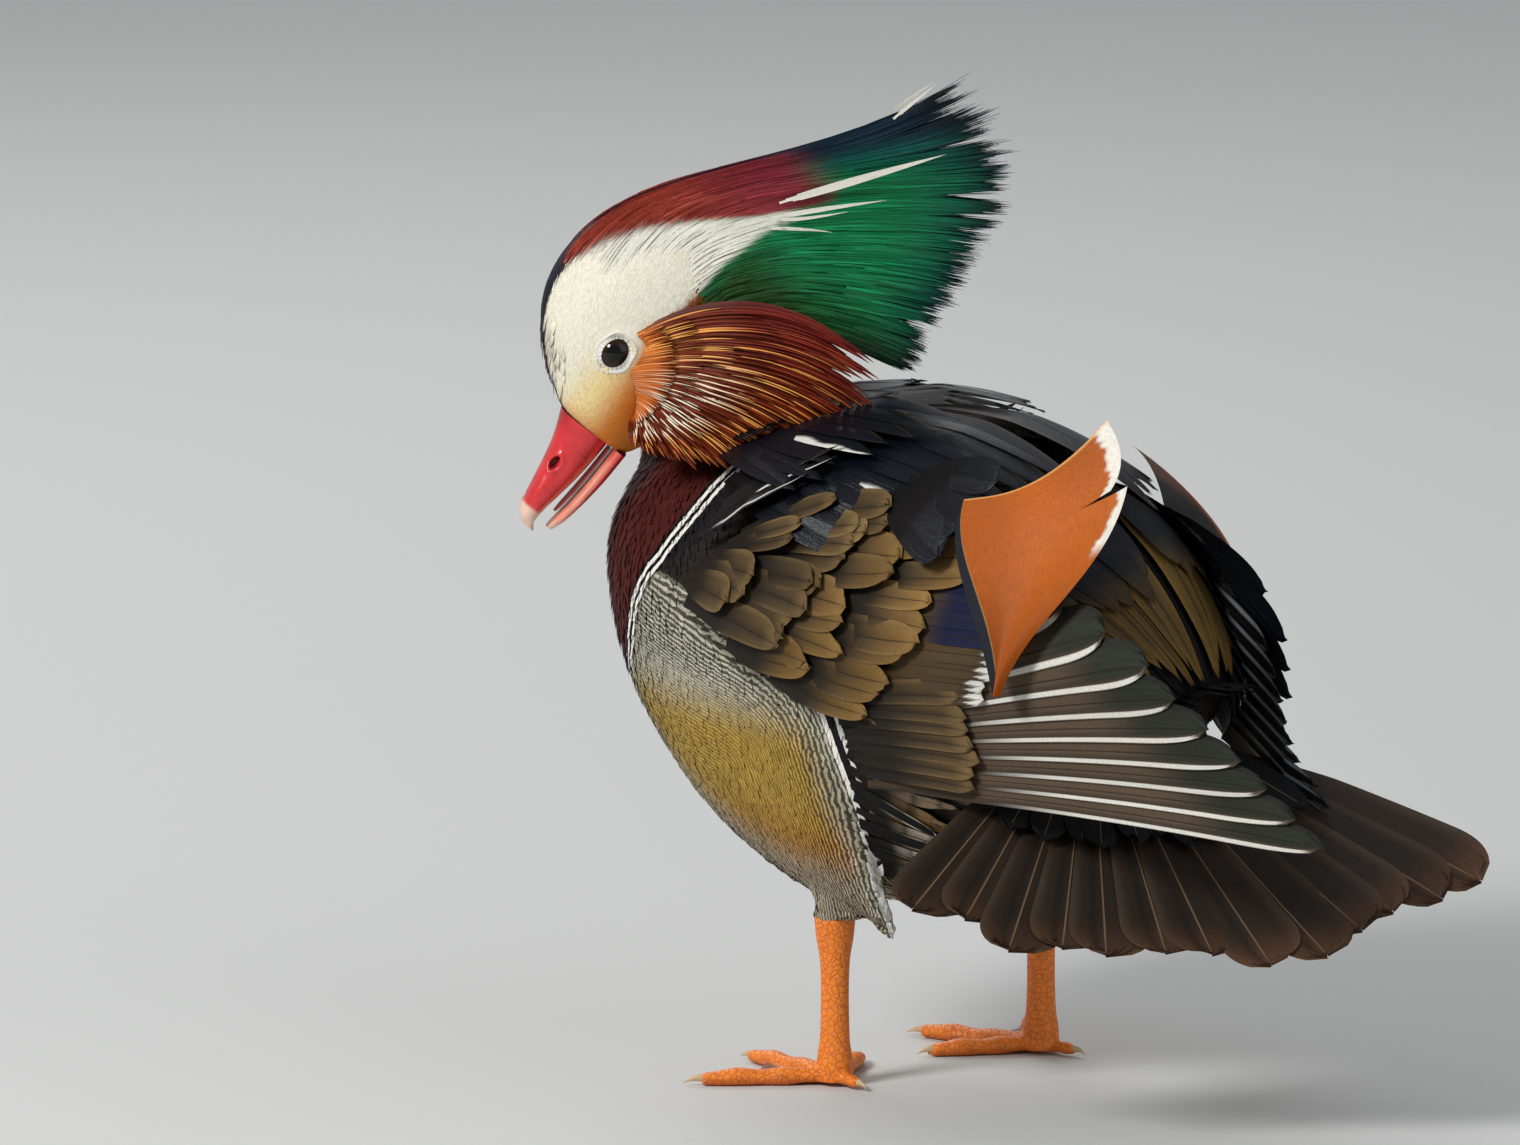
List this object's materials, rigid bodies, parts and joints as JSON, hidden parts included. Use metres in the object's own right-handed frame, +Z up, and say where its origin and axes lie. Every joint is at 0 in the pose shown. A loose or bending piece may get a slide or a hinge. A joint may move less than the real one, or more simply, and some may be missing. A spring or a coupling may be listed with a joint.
{
  "type": "mandarin duck drake still model",
  "caption": "Life-size still model of a mandarin duck drake standing on both feet, head bowed, bill open, crest raised, one wing drooped and tail fanned.",
  "frame": {"origin": "centre of the bounding box at floor level, under the feet", "axes": "+Z up; the body faces -X and its left side is towards -Y"},
  "size_m": [0.255, 0.1528, 0.2475],
  "materials": {
    "body_plumage": "matte",
    "breast_plumage": "matte",
    "face_plumage": "matte",
    "crest_plumage": "satin",
    "ruff_plumage": "matte",
    "wing_plumage": "matte",
    "tail_plumage": "matte",
    "sail_plumage": "satin",
    "eye": "gloss",
    "bill": "satin",
    "bill_edge": "satin",
    "leg_skin": "satin"
  },
  "bodies": {
    "root": {"neck": "breast_plumage", "head": "face_plumage", "eye_left": "eye", "eye_right": "eye", "bill_upper": "bill", "bill_lower": "bill_edge", "tongue": "bill_edge", "crest": "crest_plumage", "ruff_left": "ruff_plumage", "ruff_right": "ruff_plumage", "tail": "tail_plumage", "torso": "body_plumage", "wing_left": "wing_plumage", "wing_right": "wing_plumage", "sail_left": "sail_plumage", "sail_right": "sail_plumage", "leg_left": "leg_skin", "leg_right": "leg_skin", "foot_left": "leg_skin", "foot_right": "leg_skin"}
  },
  "joints": []
}
